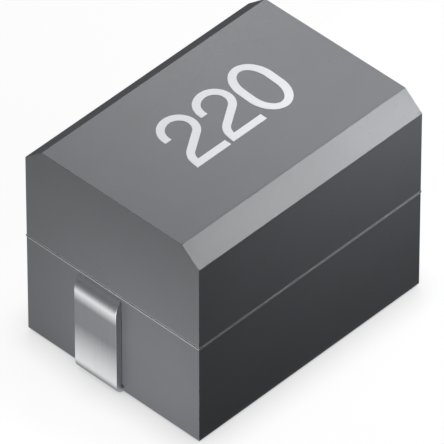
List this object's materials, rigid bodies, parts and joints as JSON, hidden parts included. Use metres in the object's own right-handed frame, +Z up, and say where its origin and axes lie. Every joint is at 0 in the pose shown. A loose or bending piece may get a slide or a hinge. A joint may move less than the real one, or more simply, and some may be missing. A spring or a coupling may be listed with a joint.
{
  "type": "moulded chip inductor",
  "caption": "Moulded surface-mount inductor: an epoxy block with chamfered long edges and a folded terminal at each end, over a wire-wound ferrite drum.",
  "frame": {"origin": "on the circuit board under the middle of the block, in the plane of the feet's soldered faces", "axes": "+X along the block from one terminal to the other, +Y across it, +Z up from the board"},
  "size_m": [0.0044, 0.0032, 0.0034],
  "materials": {
    "moulded_epoxy": "dark grey moulded epoxy, satin, with a fine mould texture",
    "tin_plate": "tin-plated copper alloy strip, satin",
    "ferrite": "sintered ferrite, dark and matte",
    "enamelled_copper": "copper wire under clear enamel",
    "weld_metal": "solidified weld bead"
  },
  "bodies": {
    "root": {"moulded_body": "moulded_epoxy", "terminal_left": "tin_plate", "terminal_right": "tin_plate", "drum_core": "ferrite", "winding": "enamelled_copper", "wire_weld_left": "weld_metal", "wire_weld_right": "weld_metal"}
  },
  "joints": []
}
